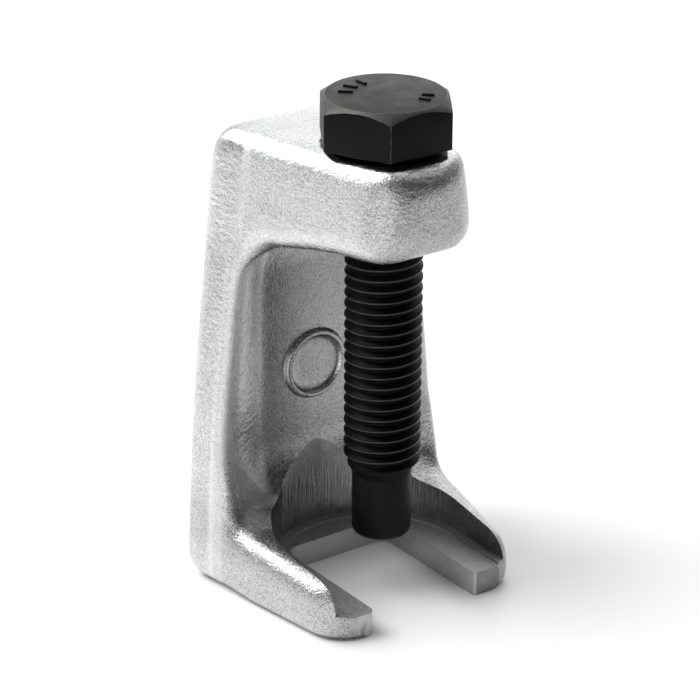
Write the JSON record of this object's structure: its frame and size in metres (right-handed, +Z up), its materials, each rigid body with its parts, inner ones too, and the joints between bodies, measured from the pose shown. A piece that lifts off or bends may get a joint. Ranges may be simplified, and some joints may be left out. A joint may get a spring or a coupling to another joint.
{
  "type": "ball joint separator",
  "caption": "C-frame with a forked, machined foot and a hexagon-head forcing screw that presses a ball joint's stud out of its arm",
  "frame": {"origin": "on the ground under the middle of the tool's width and depth; the screw's axis is 4.75 mm in front of it", "axes": "+Z is up along the screw towards its head, -Y is the way the fork and the arm point, +X is to the right of someone who looks along +Y into the fork"},
  "size_m": [0.0442, 0.0356, 0.0812],
  "materials": {
    "zinc_forging": "zinc-plated steel forging with a fine rough skin, machined smooth in the fork",
    "black_screw": "black oxide, satin, slightly worn on its edges",
    "black_tip": "black oxide, satin, turned"
  },
  "bodies": {
    "frame": {"frame": "zinc_forging"},
    "tip": {"pressure_tip": "black_tip"},
    "screw": {"forcing_screw": "black_screw"}
  },
  "joints": [
    {"name": "screw_travel", "type": "slide", "parent": "frame", "child": "tip", "axis": [0, 0, 1], "range_m": [-0.0003, 0.037]},
    {"name": "screw_turn", "type": "hinge", "parent": "tip", "child": "screw", "pos_m": [0, -0.00475, 0], "axis": [0, 0, 1], "continuous": true}
  ],
  "couplings": [
    {"joint": "screw_turn", "follows": "screw_travel", "rad_per_m": 3590.4}
  ]
}
